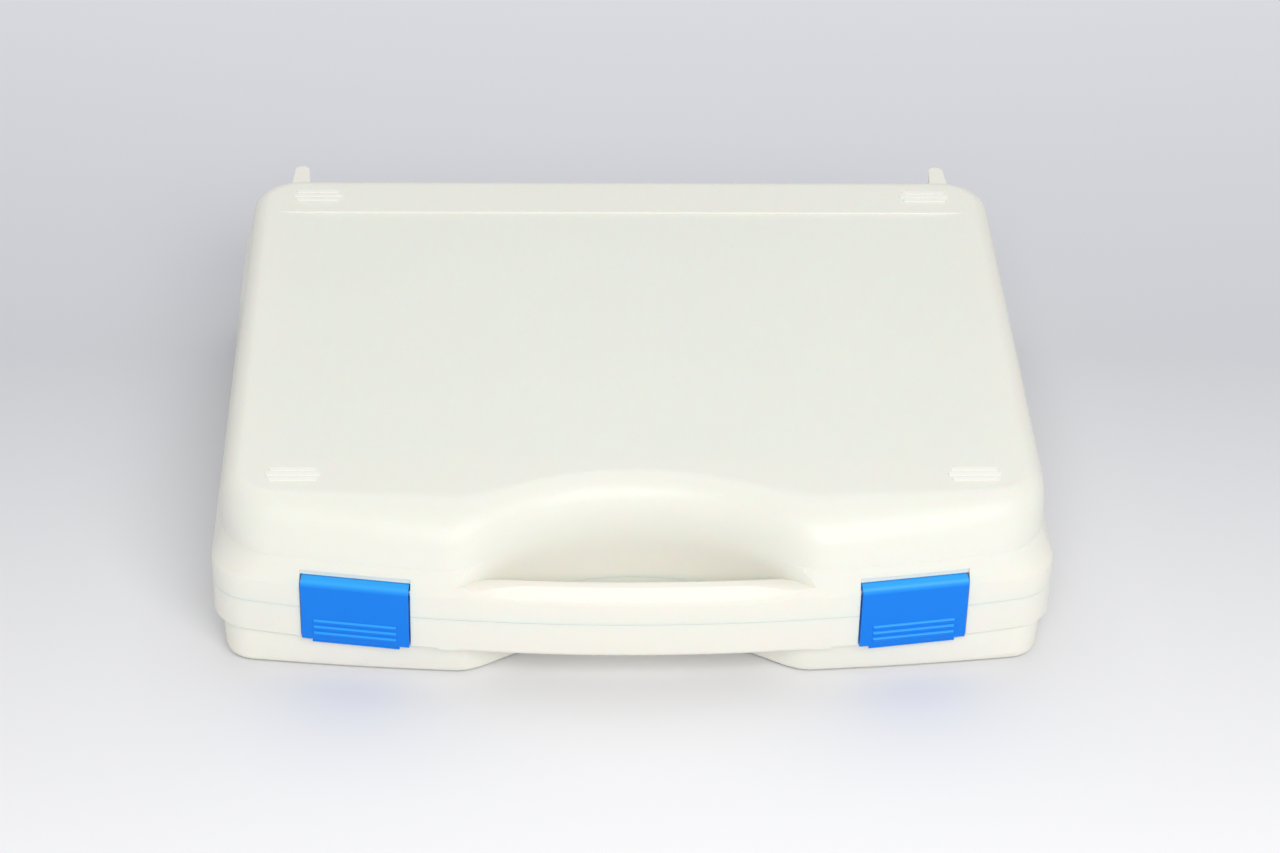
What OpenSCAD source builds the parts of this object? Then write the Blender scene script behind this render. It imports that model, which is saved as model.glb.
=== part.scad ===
// Hinged carry case: two moulded shells, a handle bar across a finger recess,
// two swinging latches, two pinned hinges and a foam lining.
// Front is -Y, the hinge is at +Y and Z is up. The origin is the bottom centre.

/* [Case] */
// width across the rim
case_w = 293; // [272:1:312]
// depth from the handle bar to the tips of the rear feet
case_d = 250; // [236:1:270]
// overall height
case_h = 65; // [62:0.5:72]
// plan radius of the bowed front of the rim
bow_r = 620; // [500:10:900]
// plan radius of the four corners at the rim
corner_r = 12; // [10:1:16]
// thickness of the moulded skin
skin_t = 2.6; // [2.2:0.1:3]

/* [Rim] */
// height of the parting plane between the shells
part_z = 27; // [26:0.5:28.5]
// gap between the closed rims
part_gap = 0.3; // [0.2:0.05:0.5]
// lower edge of the rim band
band_low = 14; // [12:0.5:15]
// upper edge of the upright face of the rim band
band_top = 40; // [39:0.5:42]
// height of the rounded shoulder between band and crown
shoulder_h = 6; // [4:0.5:7]
// how far the crown stands in from the band at the front and the rear
shoulder_in = 2.6; // [2:0.1:3.2]
// how far the crown stands in further at the sides
side_in = 1.2; // [0.8:0.1:1.6]
// width of the rim face
rim_t = 5.5; // [5.4:0.1:6.5]
// how far the bowl stands in under the band
bowl_in = 3; // [2.6:0.1:3.2]
// extra draft of the bowl down to its floor round
bowl_draft = 1; // [0.6:0.1:1.4]
// plan radius of the bowed front of the bowl at its floor
bowl_bow_r = 1000; // [800:10:1400]
// how far that bow stands back in the middle
bowl_back = 0.8; // [0.5:0.1:1.2]
// radius of the bowl's bottom edge
bowl_r = 4; // [3:0.5:5]
// thickness of the locking lip on the lower rim
lip_t = 1.6; // [1.4:0.1:1.8]
// height of the locking lip above the lower rim
lip_h = 2.3; // [1.8:0.1:2.8]

/* [Crown] */
// length of the front slope from the shoulder to the flat top
front_run = 21.4; // [18:0.2:24]
// plan radius of the flat top's front edge
top_bow_r = 1830; // [1500:10:2500]
// plan radius of the crown's corners
crown_corner_r = 19; // [15:1:22]
// rounding of the crown's side and rear edges
edge_r = 7; // [5:0.5:9]
// margin from the rim to the sunk panel's sides
panel_side = 11.2; // [10:0.2:20]
// distance from the handle bar's face to the sunk panel
panel_front = 47.1; // [46:0.1:56]
// distance from the rear of the rim to the sunk panel
panel_rear = 29.8; // [29:0.1:40]
// depth of the sunk panel
panel_drop = 0.8; // [0.5:0.1:1]
// length of the longest rib of a corner mark
mark_l = 18.7; // [16:0.1:20]
// width of a corner mark's rib
mark_w = 1.6; // [1.2:0.1:2]
// spacing of a corner mark's ribs
mark_pitch = 3; // [2.6:0.1:3.4]
// height of a corner mark's rib
mark_h = 0.6; // [0.4:0.1:0.9]

/* [Handle] */
// plan radius of the finger recess
scoop_r = 87; // [80:1:92]
// depth of the finger recess behind the bar's face
scoop_d = 28.7; // [27:0.1:30]
// how far the recess wall comes forward from its top round to the floor
scoop_lean = 2; // [1:0.1:2.5]
// depth of the round at the top of the recess
scoop_run = 11.4; // [9:0.1:13]
// height of the round at the top of the recess
scoop_rise = 11; // [9:0.1:13]
// thickness of the handle bar from front to back
bar_t = 10; // [8.5:0.1:11]
// rounding of the handle bar's upper edges
bar_r = 4; // [3:0.1:4.2]
// rounding of the handle bar's lower edges
bar_low_r = 2.2; // [1.6:0.1:3]
// how far the handle bar reaches below the band
bar_drop = 1.2; // [0.8:0.1:1.6]

/* [Latch] */
// distance of each latch from the middle
latch_x = 96.3; // [92:0.1:98]
// width of a latch
latch_w = 37.5; // [34:0.1:39]
// thickness of a latch plate
latch_t = 3; // [2.6:0.1:3.2]
// how far a latch face stands out of the band
latch_out = 0.8; // [0.6:0.1:1.2]
// outer radius of a latch's pivot barrel
barrel_r = 3.4; // [3.2:0.1:3.6]
// top of a latch
latch_top = 39.4; // [39:0.1:40]
// length of a latch below the rim band
tongue_drop = 1.4; // [1.2:0.1:2]
// cut-out at each lower corner of a latch
tongue_in = 3.5; // [2.5:0.1:4.5]
// reach of the catch nib behind a latch plate
nib_l = 1.6; // [1.4:0.1:1.7]
// height of the catch nib
nib_h = 2.1; // [1.8:0.1:2.4]
// length of the grip ribs
grip_l = 28.8; // [24:0.1:30]
// spacing of the three grip ribs
grip_pitch = 2.6; // [2.2:0.1:2.8]
// radius of a grip rib
grip_r = 0.75; // [0.6:0.05:0.9]
// radius of a latch pin
latch_pin_r = 1.25; // [1.1:0.05:1.4]

/* [Hinge] */
// distance of each hinge from the middle
hinge_x = 75; // [65:1:85]
// length of one hinge
hinge_l = 40; // [34:1:46]
// length of the lid's middle knuckle
knuckle_l = 16; // [14:0.5:18]
// outer radius of the knuckles
knuckle_r = 4; // [3.8:0.1:4.2]
// distance of the hinge axis behind the rim
hinge_back = 3; // [2.8:0.1:3.2]
// radius of a hinge pin
hinge_pin_r = 1.5; // [1.3:0.05:1.7]
// distance of the feet from the middle
foot_x = 125; // [112:0.5:127]
// length of the rear feet
foot_l = 9.8; // [9:0.1:10.5]
// width of a foot at its root
foot_w = 7; // [6:0.1:9]
// height of a foot's near end above or below the parting plane
foot_gap = 8.6; // [8.4:0.1:9.4]

/* [Foam] */
// thickness of the base pad
pad_t = 3.5; // [3:0.5:5]
// foam left free below the top of the base rim
foam_drop = 0.7; // [0.5:0.1:2]
// thickness of the lid foam
lid_foam_t = 14; // [12:0.5:15]
// width of the pocket for the handle
handle_pocket_w = 36; // [32:1:40]
// length of the pocket for the handle
handle_pocket_l = 150; // [130:1:156]
// width of the pocket for the head
head_pocket_w = 62; // [56:1:68]
// length of the pocket for the head
head_pocket_l = 70; // [60:1:76]
// width of the two small pockets
small_pocket_w = 52; // [44:1:56]
// radius of the pocket corners
pocket_r = 9; // [6:0.5:12]

/* [Fits] */
// clearance between moving pieces
move_gap = 0.3; // [0.3:0.05:0.4]
// gap at each side of a latch
side_gap = 0.5; // [0.4:0.05:0.7]
// running clearance of a bore round its pin
run_fit = 0.05; // [0.03:0.01:0.09]
// interference of a bore that grips its pin
grip_fit = 0.01; // [0.01:0.01:0.03]
// clearance of the foam to the shells
foam_gap = 0.3; // [0.3:0.1:0.6]

/* [Hidden] */
$fn = 48;
white = [0.93, 0.925, 0.90];
blue = [0.09, 0.46, 0.90];
steel = [0.74, 0.75, 0.77];
foam_grey = [0.20, 0.205, 0.22];

front_y0 = -case_d / 2;
rear_y = case_d / 2 - foot_l;
crown_z = band_top + shoulder_h;
crown_rise = case_h - crown_z;
scoop_cy = front_y0 + scoop_d - scoop_r;
scoop_z = case_h - scoop_rise;
rim_low = part_z - part_gap / 2;
rim_high = part_z + part_gap / 2;
lip_in = rim_t - lip_t;
rebate_in = lip_in - move_gap;
rebate_z = rim_low + lip_h + part_gap + 0.15;
floor_z = skin_t;
ceiling_z = case_h - skin_t;
front_steps = 22;
corner_steps = 6;
hinge_y = rear_y + hinge_back;
latch_in = latch_t - latch_out;
notch_in = latch_in + move_gap;
pivot_y = barrel_r - latch_out;
pivot_z = latch_top - barrel_r;
latch_turn = asin(latch_x / bow_r);
latch_y = front_y0 + bow(latch_x, bow_r);
ledge_z = band_low + 1.8;
nib_top = ledge_z - move_gap;
tongue_z = band_low - tongue_drop;
pin_seat = 4;
bar_end = 68 / 61.7 * scoop_reach();

// outline of one level: a list of points round the case, made in two mirrored halves
function bow(x, r) = r > 50000 ? 0 : r - sqrt(r * r - x * x);
function soft_max(a, b, k) = max(a, b) + pow(max(k - abs(a - b), 0), 2) / (4 * k);
function scoop_y(x, apex) =
    scoop_cy + sqrt(max(pow(max(apex - scoop_cy, 1), 2) - x * x, 0));
function scoop_reach() = sqrt(max(scoop_r * scoop_r - pow(front_y0 - scoop_cy + 3, 2), 1));

// a level: height, half width, corner radius, rear, front, share of top curve,
// top curve's apex and radius, recess apex, blend of recess and front
function front_y(x, l) =
    soft_max((1 - l[5]) * (l[4] + bow(x, bow_r)) + l[5] * (l[6] + bow(x, l[7])),
             scoop_y(x, l[8]), l[9]);

function arc(a, b, c, n) = [for (i = [1:n])
    let(t = i / n, s = 1 - t, h = 0.5523,
        p = a + h * (c - a), q = b + h * (c - b))
    s * s * s * a + 3 * s * s * t * p + 3 * s * t * t * q + t * t * t * b];

function half(l) =
    let(a = l[1] - l[2],
        ya = front_y(a, l),
        slope = (ya - front_y(a - 0.5, l)) / 0.5,
        reach = l[2] * sqrt(1 + slope * slope),
        c = [l[1], ya + slope * l[2]],
        b = c + [0, reach],
        d = [l[1], l[3] - l[2]])
    concat(
        [for (i = [0:front_steps])
            let(s = i / front_steps, x = a * (s + 0.09 * sin(360 * s)))
            [x, front_y(x, l)]],
        arc([a, ya], b, c, corner_steps),
        [for (t = [0.33, 0.67]) b + t * (d - b)],
        [d],
        arc(d, [a, l[3]], [l[1], l[3]], corner_steps),
        [for (t = [0.62, 0.25, 0]) [a * t, l[3]]]);

function outline(l) = let(h = half(l), n = len(h))
    concat(h, [for (i = [n - 2:-1:1]) [-h[i][0], h[i][1]]]);

// a level of the band, the bowl or the rim, a distance in from the band's face
function recess_apex(z) = front_y0 + scoop_d - scoop_lean * max(scoop_z - z, 0) / scoop_z;
function wall(z, d, ds, low = 0) =
    [z, case_w / 2 - d, max(corner_r - 0.8 * d, 3), rear_y - d, front_y0 + d, low,
     front_y0 + d + bowl_back, bowl_bow_r, recess_apex(z) + ds, 6];
// a level of the shoulder between the band and the crown
function shoulder(a) = let(d = shoulder_in * (1 - cos(a)), z = band_top + shoulder_h * sin(a))
    [z, case_w / 2 - d * (1 + side_in / shoulder_in),
     corner_r + (crown_corner_r - corner_r) * (1 - cos(a)) - 0.8 * d, rear_y - d,
     front_y0 + d, 0, 0, top_bow_r, recess_apex(z), 8 - 2 * cos(a)];

// a level of the crown, by the angle of its front slope and the distance inside its skin
function round_in(z, off) = let(z0 = case_h - edge_r, r = edge_r - off)
    z <= z0 ? shoulder_in + off
            : shoulder_in + edge_r - sqrt(max(r * r - pow(z - z0, 2), 0));
function round_scoop(z, off) = let(a = scoop_run - off, b = scoop_rise - off)
    z <= scoop_z ? off : scoop_run - a * sqrt(max(1 - pow((z - scoop_z) / b, 2), 0));
function crown(angle, off) =
    let(z = crown_z + (crown_rise - off) * sin(angle), d = round_in(z, off))
    [z, case_w / 2 - d - side_in, max(crown_corner_r - 0.8 * d, 4), rear_y - d,
     front_y0 + shoulder_in + off * cos(angle), 1 - cos(angle),
     front_y0 + shoulder_in + front_run, top_bow_r,
     recess_apex(z) + round_scoop(z, off), 8];

// a level of the sunk panel, with straight edges
function panel(z, side) =
    [z, case_w / 2 - panel_side - side, 3, rear_y - panel_rear, 0, 1,
     front_y0 + panel_front, 100000, scoop_cy, 1];

// a closed solid from a stack of levels, each end closed by a fan
module loft(levels) {
    rings = [for (l = levels) [for (p = outline(l)) [p[0], p[1], l[0]]]];
    n = len(rings[0]);
    m = len(rings);
    mid = (rear_y + front_y0 + scoop_d) / 2;
    ends = [[0, mid, levels[0][0]], [0, mid, levels[m - 1][0]]];
    points = concat([for (r = rings) for (p = r) p], ends);
    sides = [for (k = [0:m - 2]) for (i = [0:n - 1]) let(j = (i + 1) % n)
        for (f = [[k * n + i, (k + 1) * n + i, (k + 1) * n + j],
                  [k * n + i, (k + 1) * n + j, k * n + j]]) f];
    low = [for (i = [0:n - 1]) [m * n, i, (i + 1) % n]];
    high = [for (i = [0:n - 1]) [m * n + 1, (m - 1) * n + (i + 1) % n, (m - 1) * n + i]];
    polyhedron(points = points, faces = concat(sides, low, high), convexity = 10);
}

// half of the handle bar, from the parting plane to its rounded edge
module bar_half(z_flat, z_round, edge) {
    way = sign(z_round - z_flat);
    steps = 30;
    arc_steps = 4;
    sections = [for (i = [0:steps])
        let(x = bar_end * (2 * i / steps - 1),
            yf = front_y0 + 0.1 + bow(x, bow_r),
            behind = scoop_cy + sqrt(pow(scoop_r + skin_t / 2, 2) - x * x),
            yr = max(min(front_y0 + bar_t + bow(x, bow_r), behind), yf + skin_t),
            r = min(edge, 0.48 * (yr - yf)))
        concat([[x, yf, z_flat]],
            [for (k = [0:arc_steps]) let(a = 90 * k / arc_steps)
                [x, yf + r * (1 - cos(a)), z_round - way * r * (1 - sin(a))]],
            [for (k = [0:arc_steps]) let(a = 90 * k / arc_steps)
                [x, yr - r * (1 - sin(a)), z_round - way * r * (1 - cos(a))]],
            [[x, yr, z_flat]])];
    n = len(sections[0]);
    points = [for (s = sections) for (p = s) p];
    sides = [for (k = [0:steps - 1]) for (i = [0:n - 1]) let(j = (i + 1) % n)
        for (f = [[k * n + i, (k + 1) * n + j, (k + 1) * n + i],
                  [k * n + i, k * n + j, (k + 1) * n + j]]) f];
    ends = concat([for (i = [1:n - 2]) [0, i + 1, i]],
                  [for (i = [1:n - 2]) [steps * n, steps * n + i, steps * n + i + 1]]);
    faces = concat(sides, ends);
    polyhedron(points = points,
               faces = way > 0 ? faces : [for (f = faces) [f[0], f[2], f[1]]]);
}

// puts its children at a latch, with y = 0 on the band's face and z from the ground
module at_latch(side) {
    translate([side * latch_x, latch_y, 0])
        rotate([0, 0, side * latch_turn])
            children();
}

module rod(r, l) {
    rotate([0, 90, 0])
        cylinder(r = r, h = l, center = true);
}

// the space for a latch plate and its barrel
module latch_space() {
    w = latch_w + 2 * side_gap;
    low = tongue_z - side_gap;
    translate([-w / 2, -6, low])
        cube([w, 6 + notch_in, latch_top + 2.5 - low]);
    translate([0, pivot_y, pivot_z])
        rod(barrel_r + move_gap, w);
    translate([-w / 2, -6, pivot_z])
        cube([w, 6 + pivot_y, latch_top + 2.5 - pivot_z]);
}

// the slot that the catch nib enters, with its ledge on top
module catch_slot() {
    w = latch_w - 2 * tongue_in + 2 * side_gap;
    h = nib_h + 2 * move_gap + 0.2;
    translate([-w / 2, notch_in - 1, ledge_z - h])
        cube([w, 1 - move_gap + nib_l + 2 * move_gap, h]);
}

// knuckles of one hinge: the lid has the middle one, the base the two at its ends
module knuckles(first, last, up) {
    web = hinge_back + 2;
    translate([(first + last) / 2, hinge_y, part_z])
        rod(knuckle_r, last - first);
    translate([first, hinge_y - web, up > 0 ? part_z + 0.5 : part_z - knuckle_r])
        cube([last - first, web, knuckle_r - 0.5]);
}

module knuckle_space(first, last) {
    translate([(first + last) / 2, hinge_y, part_z])
        rod(knuckle_r + move_gap, last - first + 2 * move_gap);
}

end_l = (hinge_l - knuckle_l) / 2 - move_gap;

// a foot on the rear wall, tapered in plan with a rounded tip
module foot(z_low, z_high) {
    root = rear_y - 4.4;
    tip_r = foot_w * 0.39;
    tip_y = case_d / 2 - tip_r;
    translate([0, 0, z_low])
        linear_extrude(z_high - z_low)
            polygon(concat([[foot_w / 2, root]],
                [for (i = [0:8]) [tip_r * cos(22.5 * i), tip_y + tip_r * sin(22.5 * i)]],
                [[-foot_w / 2, root]]));
}

// three raised ribs with rounded ends
module corner_mark() {
    for (k = [-1:1]) {
        l = mark_l - 2.2 * abs(k);
        r = mark_w / 2;
        translate([0, k * mark_pitch, case_h - 0.5])
            linear_extrude(mark_h + 0.5)
                polygon([for (e = [1, -1], i = [0:6]) let(a = 30 * i - 90)
                    [e * (l / 2 - r + r * cos(a)), e * r * sin(a)]]);
    }
}

module base_shell() {
    color(white)
        difference() {
            union() {
                loft(concat(
                    [for (a = [90, 60, 30, 0])
                        let(d = bowl_in + bowl_draft + bowl_r * (1 - cos(a)))
                        wall(bowl_r * (1 - sin(a)), d, d - bowl_in - bowl_draft, 1)],
                    [wall(band_low, bowl_in, 0, 0.3),
                     wall(band_low, 0.5, 0),
                     wall(band_low + 0.6, 0, 0),
                     wall(rim_low, 0, 0),
                     wall(rim_low, lip_in, lip_in),
                     wall(rim_low + lip_h, lip_in, lip_in),
                     wall(rim_low + lip_h, rim_t, rim_t),
                     wall(band_low, rim_t, rim_t - 1),
                     wall(floor_z + 3.4, rim_t + 0.7, skin_t),
                     wall(floor_z + 1, rim_t + 1.5, skin_t + 0.8),
                     wall(floor_z, rim_t + 3, skin_t + 2.4)]));
                bar_half(rim_low, band_low - bar_drop, bar_low_r);
                for (s = [-1, 1]) {
                    translate([s * foot_x, 0, 0])
                        foot(bowl_r - 1, part_z - foot_gap);
                    translate([s * hinge_x, 0, 0])
                        for (e = [-1, 1])
                            translate([e * (hinge_l - end_l) / 2, 0, 0])
                                knuckles(-end_l / 2, end_l / 2, -1);
                }
            }
            for (s = [-1, 1]) {
                at_latch(s) {
                    latch_space();
                    catch_slot();
                }
                translate([s * hinge_x, 0, 0]) {
                    knuckle_space(-knuckle_l / 2, knuckle_l / 2);
                    translate([0, hinge_y, part_z])
                        rod(hinge_pin_r - grip_fit, hinge_l + 10);
                }
            }
        }
}

module lid_shell() {
    color(white)
        difference() {
            union() {
                loft(concat(
                    [for (a = [90, 75, 58, 38, 18, 0]) crown(a, skin_t)],
                    [wall(rebate_z, rim_t, rim_t),
                     wall(rebate_z, rebate_in, rebate_in),
                     wall(rim_high, rebate_in, rebate_in),
                     wall(rim_high, 0, 0)],
                    [for (a = [0, 22.5, 45, 67.5, 90]) shoulder(a)],
                    [for (a = [11, 23, 35, 47, 57, 66, 74, 81, 86, 90]) crown(a, 0)],
                    [panel(case_h, 0),
                     panel(case_h - panel_drop, 0.4)]));
                bar_half(rim_high, band_top, bar_r);
                for (s = [-1, 1]) {
                    at_latch(s)
                        translate([-latch_w / 2 - side_gap - pin_seat, rim_t - 1, rebate_z + 1])
                            cube([latch_w + 2 * side_gap + 2 * pin_seat,
                                  barrel_r + pivot_y + move_gap + skin_t - rim_t + 1,
                                  pivot_z + barrel_r + move_gap + skin_t - rebate_z - 1]);
                    translate([s * foot_x, 0, 0])
                        foot(part_z + foot_gap, case_h - 3);
                    translate([s * hinge_x, 0, 0])
                        knuckles(-knuckle_l / 2, knuckle_l / 2, 1);
                    for (y = [front_y0 + panel_front - 11.4, rear_y - panel_rear + 11.6])
                        translate([s * (case_w / 2 - 28.8), y, 0])
                            corner_mark();
                }
            }
            for (s = [-1, 1]) {
                at_latch(s) {
                    latch_space();
                    translate([0, pivot_y, pivot_z])
                        rod(latch_pin_r - grip_fit, latch_w + 2 * side_gap + 2 * pin_seat + 0.4);
                }
                translate([s * hinge_x, 0, 0]) {
                    for (e = [-1, 1])
                        translate([e * (hinge_l - end_l) / 2, 0, 0])
                            knuckle_space(-end_l / 2, end_l / 2);
                    translate([0, hinge_y, part_z])
                        rod(hinge_pin_r + run_fit, knuckle_l + 2);
                }
            }
        }
}

// the side profile of a latch, as depth and height, drawn out along its width
module latch(side) {
    toe = 0.9;
    foot_z = band_low;
    dip = barrel_r * barrel_r - pow(latch_in - pivot_y, 2);
    end_a = atan2(-sqrt(dip), latch_in - pivot_y);
    color(blue)
        at_latch(side)
            difference() {
                union() {
                    rotate([90, 0, 90])
                        linear_extrude(latch_w, center = true)
                            polygon(concat(
                                [[latch_in, foot_z], [toe - latch_out, foot_z]],
                                [for (k = [0:3]) let(a = 30 * k)
                                    [-latch_out + toe * (1 - sin(a)),
                                     foot_z + toe * (1 - cos(a))]],
                                [for (k = [0:20]) let(a = 180 + (end_a - 180) * k / 20)
                                    [pivot_y + barrel_r * cos(a),
                                     pivot_z + barrel_r * sin(a)]]));
                    translate([-latch_w / 2 + tongue_in, toe - latch_out, tongue_z])
                        cube([latch_w - 2 * tongue_in, latch_t - toe, tongue_drop + 1]);
                    translate([-latch_w / 2 + tongue_in, latch_in - 1, nib_top - nib_h])
                        cube([latch_w - 2 * tongue_in, nib_l + 1, nib_h]);
                    for (k = [0:2])
                        translate([0, 0.1 - latch_out, band_low + 3 + k * grip_pitch])
                            rod(grip_r, grip_l);
                }
                translate([0, pivot_y, pivot_z])
                    rod(latch_pin_r + run_fit, latch_w + 2);
            }
}

module latch_pin(side) {
    color(steel)
        at_latch(side)
            translate([0, pivot_y, pivot_z])
                rod(latch_pin_r, latch_w + 2 * side_gap + 2 * pin_seat);
}

module hinge_pin(side) {
    color(steel)
        translate([side * hinge_x, hinge_y, part_z])
            rod(hinge_pin_r, hinge_l);
}

module base_foam_pad() {
    d = rim_t + 3 + foam_gap;
    color(foam_grey)
        loft([wall(floor_z, d, skin_t + 2.4 + foam_gap),
              wall(floor_z + pad_t, d, skin_t + 2.4 + foam_gap)]);
}

// a block with rounded corners, cut right through the foam
module pocket(x, y, w, d) {
    for (e = [-1, 1]) {
        translate([x - w / 2 + (e > 0 ? pocket_r : 0), y - d / 2 + (e < 0 ? pocket_r : 0), 0])
            cube([w - (e > 0 ? 2 * pocket_r : 0), d - (e < 0 ? 2 * pocket_r : 0), 2 * part_z]);
        for (f = [-1, 1])
            translate([x + e * (w / 2 - pocket_r), y + f * (d / 2 - pocket_r), 0])
                cylinder(r = pocket_r, h = 2 * part_z);
    }
}

module base_foam_insert() {
    low = floor_z + pad_t;
    high = rim_low + lip_h - foam_drop - 1;
    d = rim_t + 1.4 + foam_gap;
    run = handle_pocket_l + head_pocket_l;
    color(foam_grey)
        difference() {
            loft([wall(low, d, d - 1), wall(high, d, d - 1)]);
            pocket(-run / 2 + handle_pocket_l / 2 + 3, pocket_y, handle_pocket_l + 6,
                   handle_pocket_w);
            pocket(run / 2 - head_pocket_l / 2, pocket_y, head_pocket_l, head_pocket_w);
            for (s = [-1, 1])
                pocket(s * small_pocket_x, small_pocket_y, small_pocket_l, small_pocket_w);
        }
}

pocket_y = rear_y - rim_t - 14 - head_pocket_w / 2;
small_pocket_l = 88;
small_pocket_x = 72;
small_pocket_y = pocket_y - head_pocket_w / 2 - 14 - small_pocket_w / 2;

module lid_foam() {
    off = skin_t + foam_gap;
    rise = crown_rise - off;
    lowest = asin(1 - lid_foam_t / rise);
    color(foam_grey)
        loft([for (t = [0, 0.25, 0.5, 0.75, 1]) crown(lowest + (90 - lowest) * t, off)]);
}

base_shell();
lid_shell();
latch(-1);  // latch_left
latch(1);  // latch_right
latch_pin(-1);  // latch_pin_left
latch_pin(1);  // latch_pin_right
hinge_pin(-1);  // hinge_pin_left
hinge_pin(1);  // hinge_pin_right
base_foam_pad();
base_foam_insert();
lid_foam();
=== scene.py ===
# Otoscope carry case: two white moulded shells, blue swing latches and a grey foam lining.
# The sections follow the case as it is put together, from the lower shell up to the lid.
import math
import bmesh
import bpy
from mathutils import Matrix, Vector


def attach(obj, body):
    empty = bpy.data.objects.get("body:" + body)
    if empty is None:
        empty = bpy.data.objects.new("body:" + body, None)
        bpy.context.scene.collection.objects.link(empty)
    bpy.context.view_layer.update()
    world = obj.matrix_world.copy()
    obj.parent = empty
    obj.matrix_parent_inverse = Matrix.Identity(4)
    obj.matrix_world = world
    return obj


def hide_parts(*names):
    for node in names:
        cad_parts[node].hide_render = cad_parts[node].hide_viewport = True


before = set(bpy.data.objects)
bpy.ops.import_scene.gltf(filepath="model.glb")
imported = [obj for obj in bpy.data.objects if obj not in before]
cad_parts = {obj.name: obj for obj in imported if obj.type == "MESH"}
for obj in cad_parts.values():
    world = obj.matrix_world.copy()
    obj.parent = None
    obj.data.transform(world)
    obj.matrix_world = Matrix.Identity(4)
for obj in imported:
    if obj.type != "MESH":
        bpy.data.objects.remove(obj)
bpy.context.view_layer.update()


# Lower shell: a polypropylene bowl with its rim band, locking lip, handle half,
# hinge knuckles and feet. It is injection moulded in one piece.
MM = 0.001  # a millimetre in metres
part_z = 27.0  # height of the joint between the shells, in mm
part_gap = 0.3  # gap between the rims of the solids
seen_gap = 0.1  # gap that the visible rims keep
same_place = 2e-6  # points nearer than this, in metres, are one point


def linear(code):
    parts = [int(code[i:i + 2], 16) / 255 for i in (1, 3, 5)]
    return [p / 12.92 if p <= 0.04045 else ((p + 0.055) / 1.055) ** 2.4 for p in parts] + [1.0]


def add(tree, kind, sockets=(), **settings):
    node = tree.nodes.new("ShaderNode" + kind)
    for key, value in settings.items():
        setattr(node, key, value)
    for key, value in dict(sockets).items():
        if isinstance(value, bpy.types.NodeSocket):
            tree.links.new(value, node.inputs[key])
        else:
            node.inputs[key].default_value = value
    return node


def moulding(name, node, body, round_mm=0.12, crease=28, settle=None, cutter=None):
    """A clean copy of a CAD node, with smooth moulded faces and softened edges.

    Edges that turn by more than crease degrees stay sharp. settle moves points of the
    welded copy, and cutter is a closed object whose volume is taken off."""
    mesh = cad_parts[node].data.copy()
    mesh.materials.clear()
    bm = bmesh.new()
    bm.from_mesh(mesh)
    bmesh.ops.remove_doubles(bm, verts=bm.verts, dist=same_place)
    if settle:
        settle(bm)
    if cutter:
        bm.to_mesh(mesh)
        whole = bpy.data.objects.new("whole", mesh)
        bpy.context.scene.collection.objects.link(whole)
        step = whole.modifiers.new("trim", "BOOLEAN")
        step.operation, step.solver, step.object = "DIFFERENCE", "EXACT", cutter
        shaped = whole.evaluated_get(bpy.context.evaluated_depsgraph_get())
        mesh = bpy.data.meshes.new_from_object(shaped)
        bpy.data.objects.remove(whole)
        bpy.data.objects.remove(cutter)
        bm.clear()
        bm.from_mesh(mesh)
        bmesh.ops.remove_doubles(bm, verts=bm.verts, dist=same_place)
    flat = math.radians(0.6)
    bmesh.ops.dissolve_degenerate(bm, edges=bm.edges, dist=2.5 * same_place)
    bmesh.ops.dissolve_limit(bm, angle_limit=flat, verts=bm.verts, edges=bm.edges, delimit=set())
    for face in bm.faces:
        face.smooth = True
    for edge in bm.edges:
        edge.smooth = len(edge.link_faces) == 2 and edge.calc_face_angle(0) < math.radians(crease)
    bm.to_mesh(mesh)
    bm.free()
    piece = bpy.data.objects.new(name, mesh)
    bpy.context.scene.collection.objects.link(piece)
    bevel = piece.modifiers.new("soft_edges", "BEVEL")
    bevel.width = round_mm * MM
    bevel.segments = 2
    bevel.limit_method = "ANGLE"
    bevel.angle_limit = math.radians(crease + 6)
    weigh = piece.modifiers.new("even_shading", "WEIGHTED_NORMAL")
    weigh.keep_sharp = True
    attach(piece, body)
    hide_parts(node)
    return piece


# Satin injection-moulded polypropylene: light enters it a little, and a fine
# spark-eroded grain spreads its highlights. The shells are a creamy white.
def moulded_polypropylene(name, code, shade, rough, painted_top_light=None):
    mat = bpy.data.materials.new(name)
    mat.use_nodes = True
    tree = mat.node_tree
    skin = tree.nodes["Principled BSDF"]
    place = add(tree, "TexCoord").outputs["Object"]
    # cloudy melt flow
    flow_mm = 60
    cloud = add(tree, "TexNoise", {"Vector": place, "Scale": 1000 / flow_mm, "Detail": 3.0})
    tint = add(tree, "Mix", {0: cloud.outputs["Fac"], 6: linear(code), 7: linear(shade)},
               data_type="RGBA")
    if painted_top_light:
        # painted highlight: paler where the surface faces up, as on rounded edges and rib tops
        facing = add(tree, "SeparateXYZ", {"Vector": add(tree, "TexCoord").outputs["Normal"]})
        share = add(tree, "MapRange", {"Value": facing.outputs["Z"], "From Min": 0.12,
                                       "From Max": 0.7})
        tint = add(tree, "Mix", {0: share.outputs["Result"], 6: tint.outputs[2],
                                 7: linear(painted_top_light)}, data_type="RGBA")
    tree.links.new(tint.outputs[2], skin.inputs["Base Color"])
    # moulded grain, drawn coarser than the real 0.1 mm so that it shows
    grain_mm = 0.7
    grain = add(tree, "TexNoise", {"Vector": place, "Scale": 1000 / grain_mm, "Detail": 2.0})
    gloss = add(tree, "MapRange", {"Value": grain.outputs["Fac"], "To Min": rough - 0.05,
                                   "To Max": rough + 0.05})
    tree.links.new(gloss.outputs["Result"], skin.inputs["Roughness"])
    bump = add(tree, "Bump", {"Height": grain.outputs["Fac"], "Strength": 0.25,
                              "Distance": 0.02 * MM})
    tree.links.new(bump.outputs["Normal"], skin.inputs["Normal"])
    skin.inputs["IOR"].default_value = 1.49
    return mat


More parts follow.
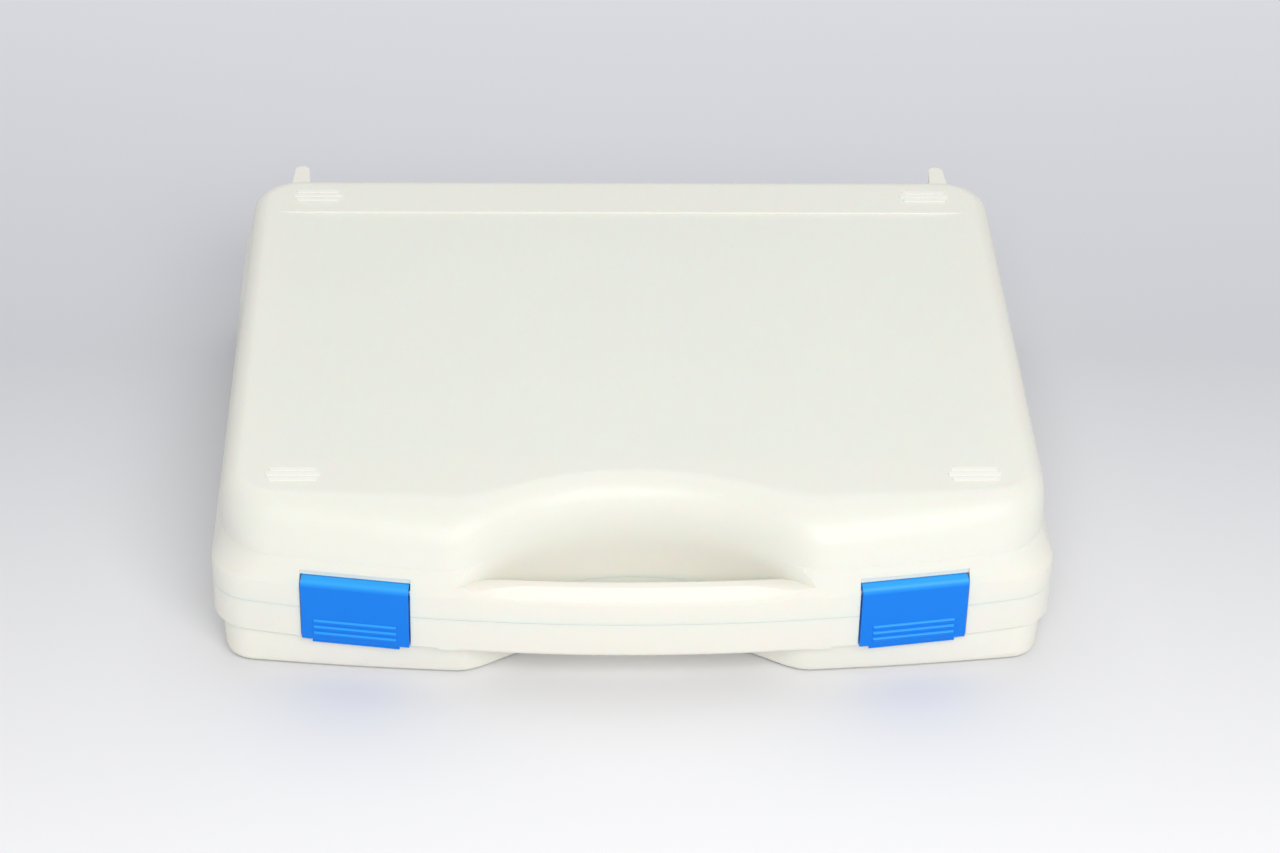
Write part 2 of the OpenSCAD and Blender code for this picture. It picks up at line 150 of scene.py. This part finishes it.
white_plastic = moulded_polypropylene("satin white polypropylene", "#F5F3EA", "#F2F0E6", 0.38)
white_skin = white_plastic.node_tree.nodes["Principled BSDF"]
white_skin.inputs["Subsurface Weight"].default_value = 0.3
white_skin.inputs["Subsurface Scale"].default_value = 4 * MM


def close_rim(bm, side):
    """Bring the rim nearer to the other shell's: side is -1 below the joint and 1 above it."""
    rim_z = (part_z + side * part_gap / 2) * MM
    for vert in bm.verts:
        if abs(vert.co.z - rim_z) < same_place:
            vert.co.z -= side * (part_gap - seen_gap) / 2 * MM


lower_shell = moulding("lower_shell", "base_shell", "base",
                       settle=lambda bm: close_rim(bm, -1))
lower_shell.data.materials.append(white_plastic)


# Hinge pins: two 3 mm steel rods pressed into the lower shell's knuckles.
# They are cut from drawn stainless steel wire, and fine lines run along them, which
# draw the highlight out into a streak.
def drawn_steel(name):
    mat = bpy.data.materials.new(name)
    mat.use_nodes = True
    tree = mat.node_tree
    metal = tree.nodes["Principled BSDF"]
    place = add(tree, "TexCoord").outputs["Object"]
    # drawing lines, drawn coarser than the real 0.05 mm so that they show
    line_mm, apart_mm = 12, 0.3
    lines = add(tree, "Mapping", {"Vector": place,
                                  "Scale": (1000 / line_mm, 1000 / apart_mm, 1000 / apart_mm)})
    streak = add(tree, "TexNoise", {"Vector": lines.outputs["Vector"], "Scale": 1.0})
    gloss = add(tree, "MapRange", {"Value": streak.outputs["Fac"], "To Min": 0.22, "To Max": 0.38})
    tree.links.new(gloss.outputs["Result"], metal.inputs["Roughness"])
    metal.inputs["Base Color"].default_value = linear("#C9CBCF")
    metal.inputs["Metallic"].default_value = 1.0
    return mat


steel = drawn_steel("drawn stainless steel")


def show_pin(name):
    """Give a pin's own solid the steel."""
    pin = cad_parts[name]
    pin.data.materials.clear()
    pin.data.materials.append(steel)


for side in ("left", "right"):
    show_pin("hinge_pin_" + side)


# Foam in the lower shell: a flat pad and a thick insert with die-cut pockets.
# Both are cut from dark grey closed-cell polyethylene foam, matt and finely pitted
# by cells of about a millimetre.
def closed_cell_foam(name, code, shade):
    mat = bpy.data.materials.new(name)
    mat.use_nodes = True
    tree = mat.node_tree
    foam = tree.nodes["Principled BSDF"]
    place = add(tree, "TexCoord").outputs["Object"]
    # cells, and clouds of denser foam between them
    cell_mm, cloud_mm = 1.2, 18
    cells = add(tree, "TexVoronoi", {"Vector": place, "Scale": 1000 / cell_mm})
    cloud = add(tree, "TexNoise", {"Vector": place, "Scale": 1000 / cloud_mm, "Detail": 4.0})
    both = add(tree, "Math", {0: cells.outputs["Distance"], 1: cloud.outputs["Fac"]},
               operation="MULTIPLY")
    tint = add(tree, "Mix", {0: both.outputs[0], 6: linear(code), 7: linear(shade)},
               data_type="RGBA")
    tree.links.new(tint.outputs[2], foam.inputs["Base Color"])
    bump = add(tree, "Bump", {"Height": cells.outputs["Distance"], "Strength": 0.7,
                              "Distance": 0.4 * MM})
    tree.links.new(bump.outputs["Normal"], foam.inputs["Normal"])
    foam.inputs["Roughness"].default_value = 0.92
    foam.inputs["Sheen Weight"].default_value = 0.15
    return mat


grey_foam = closed_cell_foam("dark grey polyethylene foam", "#3B3C41", "#57585E")


def foam_layer(name, node, body):
    """A cut foam layer, with its edges rounded as the cutting knife presses them."""
    layer = moulding(name, node, body, round_mm=1.2)
    layer.data.materials.append(grey_foam)


foam_layer("foam_pad", "base_foam_pad", "base")
foam_layer("foam_insert", "base_foam_insert", "base")


# Lid shell: the crown with its sunk panel and corner marks, the handle's upper half,
# the latch housings and the middle knuckles, moulded in the same polypropylene.
# Its copy gets a bevelled shoulder and handle edge, and a panel that rises at its sides.
wide = 146.5  # half the width across the rim, in mm as all sizes of this section
front_y, rear_y = -125.0, 115.2  # front and rear of the rim
bow_r = 620.0  # plan radius of the bowed front
corner_r = 12.0  # plan radius of the corners at the band
side_step, corner_step = 1.46, 1.89  # step in at the sides, and of the radius, for a step in of 1
band_top = 40.0  # top of the band's upright face in the solid
scoop_r, scoop_y = 87.0, -183.3  # plan radius of the finger recess, and its centre
scoop_lean, scoop_z = 2.0, 54.0  # how far the recess wall leans forward, from this height down
scoop_blend, blend_step = 6.0, 0.77  # blend of recess and front, and its growth for a step in of 1
bar_end, bar_blend = 40.0, 22.0  # where the handle bar's bevel starts to turn into the shoulder's
bar_low, shoulder_low = 33.2, 35.0  # height at which the bevel starts on the bar and the shoulder
bar_deep, shoulder_deep = 4.2, 1.2  # depth of the bevel at the band's top on the bar and the shoulder
recess_end = 90.0  # the finger recess ends this far from the middle
clear, rear_fade = 2.5, 3.2  # how far the cutter stands out of the band, and draws out at its ends
front_steps, corner_steps = 22, 6  # spans of the cutter along half the front and round a corner
side_shares = (0.33, 0.67, 0.85)  # its stations along the side, as shares of the straight
crowding = 0.09  # how much the front's spans draw together where the recess turns
quarter = 0.5523  # where a curve's handles lie for a quarter circle
case_h, panel_drop = 65.0, 0.8  # height of the crown, and depth of the sunk panel
panel_wide, panel_rise, panel_rear = 134.9, 14.6, 85.4  # half its floor, its rising side, its rear


def bow(x):
    return bow_r - math.sqrt(bow_r * bow_r - x * x)


def ease(value):
    t = min(max(value, 0), 1)
    return t * t * (3 - 2 * t)


def band_front(x, z, inset):
    """The band's or shoulder's front, where it blends into the finger recess."""
    front = front_y + inset + bow(x)
    radius = scoop_r - scoop_lean * max(scoop_z - z, 0) / scoop_z
    recess = scoop_y + math.sqrt(max(radius * radius - x * x, 0))
    blend = scoop_blend + blend_step * max(inset, 0)
    return max(front, recess) + max(blend - abs(front - recess), 0) ** 2 / (4 * blend)


def half_way(z, inset):
    """Points in plan from the middle of the front round a corner and along a side."""
    inward, outward = max(inset, 0), max(-inset, 0)
    edge = wide - side_step * inward + outward
    turn = corner_r + corner_step * inward + 0.8 * outward
    end_x = edge - turn
    points = []
    for i in range(front_steps + 1):
        s = i / front_steps
        x = end_x * (s + crowding * math.sin(2 * math.pi * s))
        points.append((x, band_front(x, z, inset)))
    end_y = points[-1][1]
    slope = (end_y - band_front(end_x - 0.5, z, inset)) / 0.5
    start, tip = Vector((end_x, end_y)), Vector((edge, end_y + slope * turn))
    stop = tip + Vector((0, turn * math.sqrt(1 + slope * slope)))
    near_start = start + quarter * (tip - start)
    near_stop = stop + quarter * (tip - stop)
    for i in range(1, corner_steps + 1):
        t = i / corner_steps
        s = 1 - t
        points.append(tuple(s ** 3 * start + 3 * s * s * t * near_start
                            + 3 * s * t * t * near_stop + t ** 3 * stop))
    for share in side_shares:
        points.append((edge, stop.y + share * (rear_y - turn - stop.y)))
    return points


def bevel_section(near, in_bar):
    """The cutter's section as (inset, height): up the bevel, which has a soft foot, and out.

    near runs from 0 on the handle bar to 1 on the shoulder."""
    low = bar_low + (shoulder_low - bar_low) * near
    deep = bar_deep + (shoulder_deep - bar_deep) * near
    bevel = [(-clear, low - 0.5), (-0.1, low - 0.2), (0.06, low + 1), (0.28, low + 2.2),
             (1.0 - 0.3 * near, low + 3.6 - 0.3 * near), (deep, band_top + 0.1)]
    if in_bar:
        return bevel + [(deep + 0.1, band_top + 0.5), (deep + 0.1, band_top + 1),
                        (-clear, band_top + 1)]
    return bevel + [(2.5, band_top + 5.6), (2.5, band_top + 6.5), (-clear, band_top + 6.5)]


def shoulder_cutter():
    """A ring that takes the upright face's top off as a bevel, all along front and sides."""
    xs = [x for x, y in half_way(band_top, 0)]
    last = len(xs) - 1
    side = []
    for i, x in enumerate(xs):
        on_front = i <= front_steps
        in_bar = on_front and x < bar_end + 12
        near = ease((x - bar_end) / bar_blend) if on_front else 1
        fade = rear_fade if i == last else 0
        ring = []
        for k, (inset, z) in enumerate(bevel_section(near, in_bar)):
            px, py = half_way(z, inset - fade)[i]
            along_bow = k < 6 or k == 8 or in_bar
            if on_front and along_bow and px < recess_end:
                py = front_y + inset + bow(px)
            ring.append((px, py, z))
        side.append(ring)
    rings = [[(-x, y, z) for x, y, z in ring] for ring in side[:0:-1]] + side
    bm = bmesh.new()
    rows = [[bm.verts.new((x / 1000, y / 1000, z / 1000)) for x, y, z in ring] for ring in rings]
    for row, after in zip(rows, rows[1:]):
        for k in range(len(row)):
            j = (k + 1) % len(row)
            bm.faces.new((row[k], after[k], after[j]))
            bm.faces.new((row[k], after[j], row[j]))
    ends = [bm.faces.new(rows[0]), bm.faces.new(rows[-1][::-1])]
    bmesh.ops.triangulate(bm, faces=ends)
    bmesh.ops.recalc_face_normals(bm, faces=bm.faces)
    mesh = bpy.data.meshes.new("shoulder_cutter")
    bm.to_mesh(mesh)
    bm.free()
    tool = bpy.data.objects.new("shoulder_cutter", mesh)
    bpy.context.scene.collection.objects.link(tool)
    return tool


def settle_lid(bm):
    """Close the rim, and draw the panel's floor in so that it rises at its sides."""
    close_rim(bm, 1)
    for vert in bm.verts:
        if abs(vert.co.z - (case_h - panel_drop) * MM) < same_place:
            vert.co.x *= 1 - panel_rise / panel_wide


lid = moulding("upper_shell", "lid_shell", "lid", settle=settle_lid,
               cutter=shoulder_cutter())
lid.data.materials.append(white_plastic)

# At the corner marks and the panel's rear edge the same polypropylene is glossier and
# painted whiter: a painted highlight, so that they stand out as bright lines.
glossy_painted_highlight = moulded_polypropylene("polished white polypropylene", "#FCFCF6", "#FAFAF3", 0.18)
lid.data.materials.append(glossy_painted_highlight)
edge_low, edge_high = case_h - panel_drop + 0.05, case_h - 0.02
for face in lid.data.polygons:
    centre = face.center / MM
    on_mark = centre.z > case_h + 0.02
    on_rear_edge = edge_low < centre.z < edge_high and abs(centre.y - panel_rear) < 0.3
    if on_mark or on_rear_edge:
        face.material_index = 1


# Foam in the lid: one layer of the same foam, cut to the crown's inner form.
foam_layer("lid_foam_layer", "lid_foam", "lid")


# Latches: levers moulded in blue polypropylene, which swing on steel pins in the lid
# and catch under a ledge of the lower shell. Each has three grip ribs near its lower edge.
# The latch blue is painted paler on faces that point up: a painted highlight on its top round and rib
# tops.
blue_plastic = moulded_polypropylene("satin blue polypropylene", "#0082F2", "#007EEC", 0.3,
                                     painted_top_light="#34ACFF")
blue_skin = blue_plastic.node_tree.nodes["Principled BSDF"]
blue_skin.inputs["Specular IOR Level"].default_value = 0.25
for side in ("left", "right"):
    show_pin("latch_pin_" + side)
    latch = moulding("latch_lever_" + side, "latch_" + side, "latch_" + side,
                     round_mm=0.3)
    latch.data.materials.append(blue_plastic)


# Floor: a pale studio sweep, with soft daylight from above and in front of the case.
bm = bmesh.new()
floor_half = 4  # metres
bmesh.ops.create_grid(bm, x_segments=1, y_segments=1, size=floor_half)
floor_mesh = bpy.data.meshes.new("floor")
bm.to_mesh(floor_mesh)
bm.free()
floor = bpy.data.objects.new("floor", floor_mesh)
bpy.context.scene.collection.objects.link(floor)
paper = bpy.data.materials.new("matt studio paper with painted shade")
paper.use_nodes = True
tree = paper.node_tree
sheet = tree.nodes["Principled BSDF"]
place = add(tree, "TexCoord").outputs["Object"]
depth = add(tree, "SeparateXYZ", {"Vector": place})
# painted shade on the sheet, from in front of the case to well behind it, in metres: darkest near the
# case's rear
painted_shade_near, painted_shade_far = -0.25, 0.55
fade = add(tree, "MapRange", {"Value": depth.outputs["Y"], "From Min": painted_shade_near,
                              "From Max": painted_shade_far})
ramp = add(tree, "ValToRGB", {"Fac": fade.outputs["Result"]})
stops = ramp.color_ramp.elements
stops[0].color, stops[1].color = linear("#FDFDFF"), linear("#F4F4FA")
stops.new(0.42).color = linear("#D5D6DB")
tree.links.new(ramp.outputs["Color"], sheet.inputs["Base Color"])
sheet.inputs["Roughness"].default_value = 0.8
floor.data.materials.append(paper)

world = bpy.data.worlds.new("studio")
bpy.context.scene.world = world
world.use_nodes = True
sky = world.node_tree.nodes["Background"]
sky.inputs["Color"].default_value = (1.0, 1.0, 1.0, 1.0)
sky.inputs["Strength"].default_value = 0.48


def softbox(name, place, aim, size, watts, tint):
    lamp = bpy.data.lights.new(name, "AREA")
    lamp.shape = "RECTANGLE"
    lamp.size, lamp.size_y = size
    lamp.energy = watts
    lamp.color = tint
    box = bpy.data.objects.new(name, lamp)
    bpy.context.scene.collection.objects.link(box)
    box.location = place
    box.rotation_euler = (Vector(aim) - Vector(place)).to_track_quat("-Z", "Y").to_euler()


softbox("overhead", place=(0.0, 0.9, 1.5), aim=(0, 0.3, 0), size=(1.6, 1.2), watts=7.0,
        tint=(0.95, 0.97, 1.0))
softbox("front", place=(0.22, -1.12, 1.0), aim=(0, -0.1, 0.03), size=(1.2, 0.8), watts=11.5,
        tint=(1.0, 0.99, 0.97))


# Camera: a long lens above the front, as the photograph was taken.
lens = bpy.data.cameras.new("camera")
focal_px, picture_px = 3500, 1280  # focal length and picture width in pixels
lens.sensor_width = 36.0
lens.lens = focal_px / picture_px * lens.sensor_width
camera = bpy.data.objects.new("camera", lens)
bpy.context.scene.collection.objects.link(camera)
down, turn, tilt = math.radians(34.6), math.radians(-2.44), math.radians(1.38)
spin = Matrix.Rotation(turn, 3, "Z")
ahead = spin @ Vector((0, math.cos(down), -math.sin(down)))
across = spin @ Vector((1, 0, 0))
above = spin @ Vector((0, math.sin(down), math.cos(down)))
right = math.cos(tilt) * across + math.sin(tilt) * above
up = -math.sin(tilt) * across + math.cos(tilt) * above
turned = Matrix((right, up, -ahead)).transposed().to_4x4()
stand = Vector((-40.6, -1072.0, 763.7)) * MM
camera.matrix_world = Matrix.Translation(stand) @ turned
bpy.context.scene.camera = camera
bpy.context.scene.view_settings.view_transform = "Standard"
